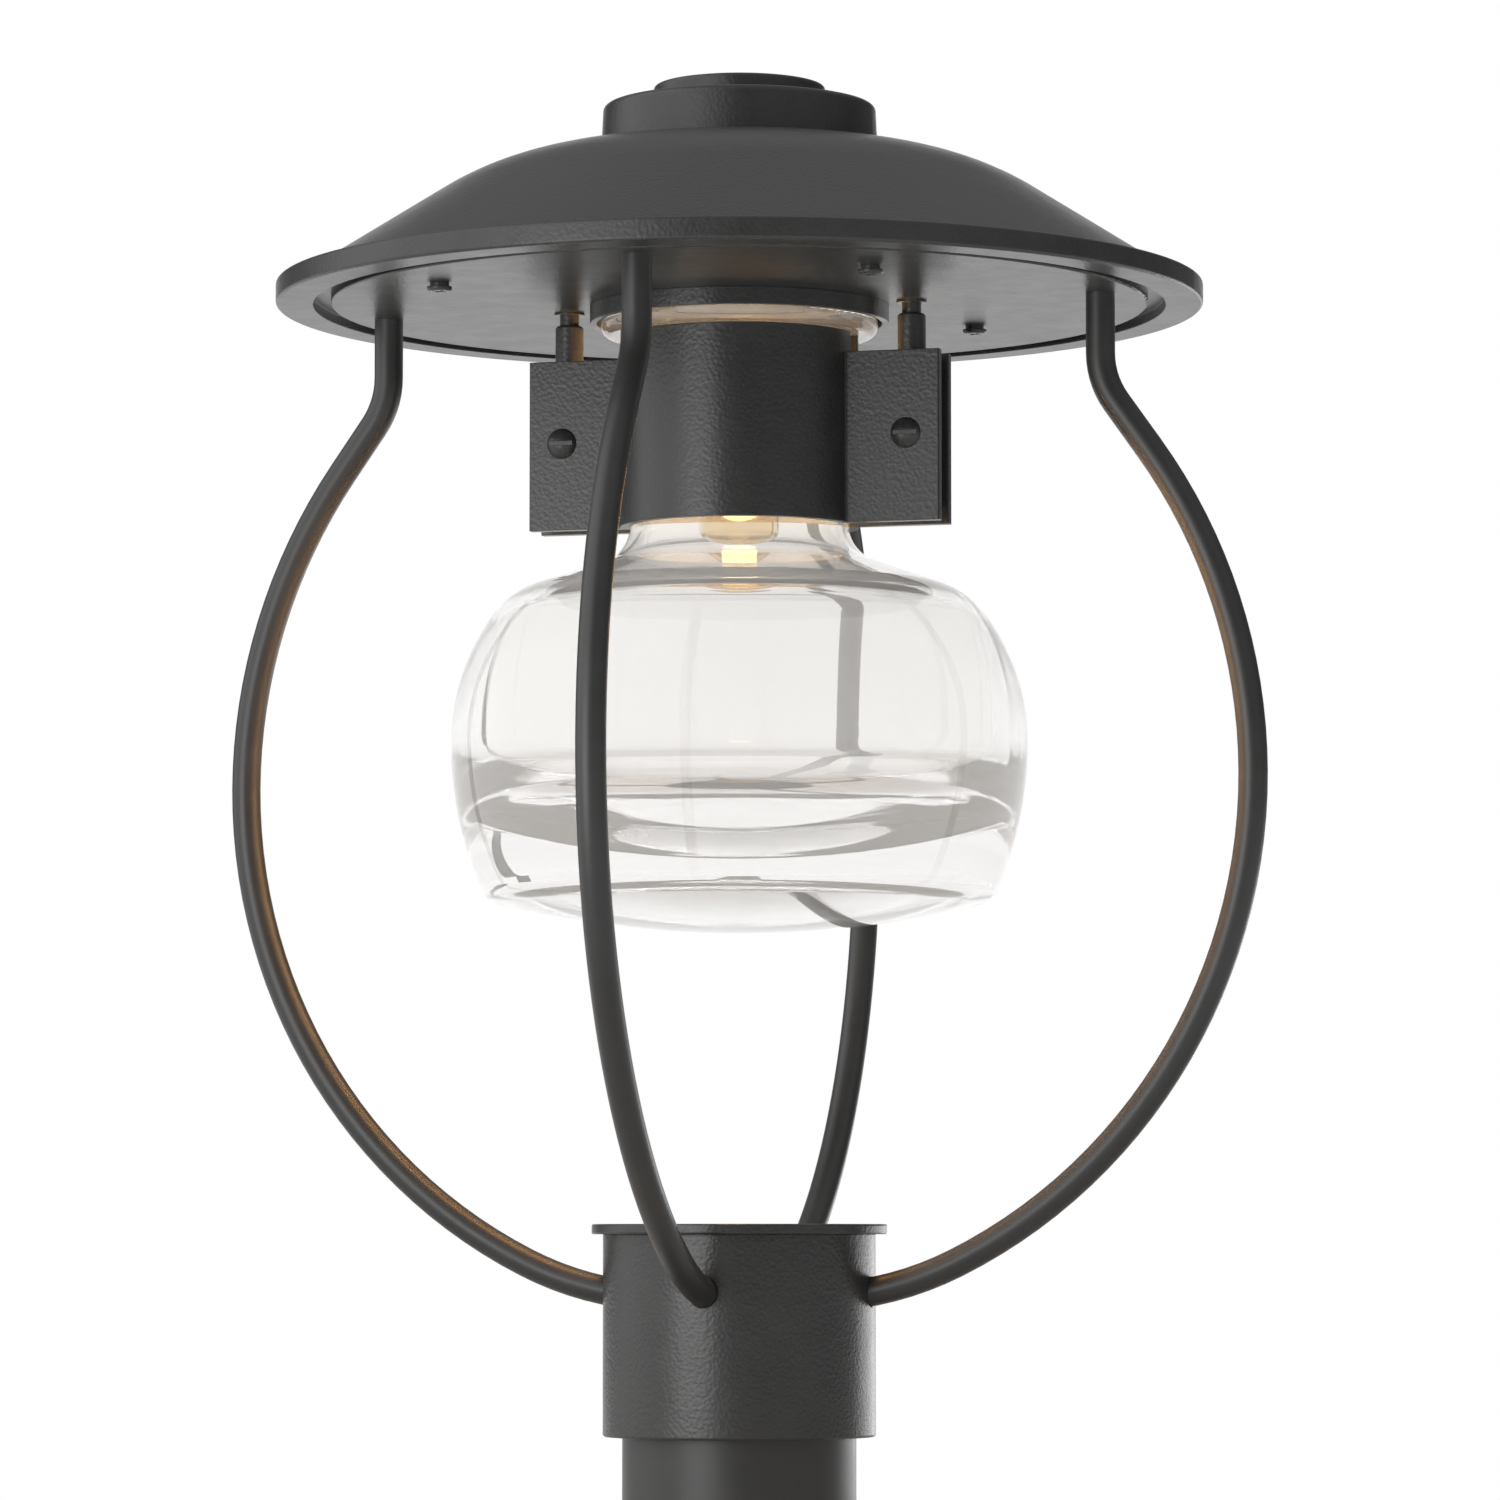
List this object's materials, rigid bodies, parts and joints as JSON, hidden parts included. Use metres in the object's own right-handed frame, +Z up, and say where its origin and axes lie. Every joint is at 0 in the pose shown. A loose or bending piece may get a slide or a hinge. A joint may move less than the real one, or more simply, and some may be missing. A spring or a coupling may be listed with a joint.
{
  "type": "outdoor post light",
  "caption": "Outdoor post light: bent-rod cage on a post collar, domed round roof, and a thick clear glass globe held by a two-piece clamp under the roof.",
  "frame": {"origin": "centre of the post piece's lower end, on the lantern's axis", "axes": "+Z up along the post; -Y towards the front cage rod and the clamp's screw heads; +X to the right rod and the right clamp ear"},
  "size_m": [0.3514, 0.3514, 0.5134],
  "materials": {
    "black_paint": "satin black powder coat with a fine orange-peel texture",
    "smooth_paint": "satin black powder coat, smoother than the castings'",
    "black_screws": "black painted screw steel",
    "plated_steel": "zinc plated",
    "clear_glass": "clear thick glass",
    "bulb_glass": "clear thin glass",
    "lamp_glow": "warm glowing capsule",
    "gasket_rubber": "soft black rubber",
    "porcelain": "white glaze",
    "brass_contacts": "plain brass",
    "cable_jacket": "matt black jacket",
    "connector_plastic": "orange moulded plastic",
    "bulb_metal": "nickel plated",
    "bulb_black": "black glass insulator"
  },
  "bodies": {
    "post": {"post_tube": "smooth_paint"},
    "lantern": {"collar": "black_paint", "collar_lid": "black_paint", "cage_rod_front": "smooth_paint", "cage_rod_right": "smooth_paint", "cage_rod_left": "smooth_paint", "cage_tube_rear": "smooth_paint", "rod_nuts": "plated_steel", "ceiling_plate": "black_paint", "roof_shell": "black_paint", "plate_screws": "black_screws", "roof_cap": "black_paint", "finial": "black_paint", "cap_washer": "plated_steel", "cap_nut": "plated_steel", "glass_globe": "clear_glass", "seat_ring": "black_paint", "seat_gasket": "gasket_rubber", "clamp_rear": "black_paint", "hanger_stud_left": "black_paint", "hanger_stud_right": "black_paint", "stud_washers": "black_screws", "stud_nuts": "plated_steel", "lampholder": "porcelain", "holder_screws": "plated_steel", "terminal_screws": "brass_contacts", "socket_shell": "brass_contacts", "socket_contact": "brass_contacts", "lead_cable": "cable_jacket", "wire_connectors": "connector_plastic"},
    "front_clamp": {"clamp_front": "black_paint"},
    "left_clamp_screw": {"clamp_screw_left": "black_screws"},
    "right_clamp_screw": {"clamp_screw_right": "black_screws"},
    "bulb": {"bulb_base": "bulb_metal", "bulb_insulator": "bulb_black", "bulb_tip": "bulb_metal", "bulb_envelope": "bulb_glass", "bulb_stem": "bulb_glass", "bulb_capsule": "lamp_glow", "bulb_leads": "bulb_metal"},
    "left_set_screw": {"set_screw_left": "black_screws"},
    "right_set_screw": {"set_screw_right": "black_screws"}
  },
  "joints": [
    {"name": "lantern_lift", "type": "slide", "parent": "post", "child": "lantern", "axis": [0, 0, 1], "range_m": [0, 0.1]},
    {"name": "front_clamp_slide", "type": "slide", "parent": "lantern", "child": "front_clamp", "axis": [0, -1, 0], "range_m": [0, 0.0056]},
    {"name": "left_clamp_screw_turn", "type": "hinge", "parent": "front_clamp", "child": "left_clamp_screw", "pos_m": [-0.0584, -0.00875, 0.39574], "axis": [0, -1, 0], "range_deg": [0, 2521]},
    {"name": "right_clamp_screw_turn", "type": "hinge", "parent": "front_clamp", "child": "right_clamp_screw", "pos_m": [0.0584, -0.00875, 0.39574], "axis": [0, -1, 0], "range_deg": [0, 2521]},
    {"name": "bulb_turn", "type": "hinge", "parent": "lantern", "child": "bulb", "pos_m": [0, 0, 0.45], "axis": [0, 0, -1], "continuous": true},
    {"name": "left_set_screw_turn", "type": "hinge", "parent": "lantern", "child": "left_set_screw", "pos_m": [-0.03143, 0.03143, 0.086], "axis": [-0.7071, 0.7071, 0], "continuous": true},
    {"name": "right_set_screw_turn", "type": "hinge", "parent": "lantern", "child": "right_set_screw", "pos_m": [0.03143, 0.03143, 0.086], "axis": [0.7071, 0.7071, 0], "continuous": true}
  ],
  "couplings": [
    {"joint": "left_clamp_screw_turn", "follows": "front_clamp_slide", "rad_per_m": 7854},
    {"joint": "right_clamp_screw_turn", "follows": "front_clamp_slide", "rad_per_m": 7854}
  ]
}
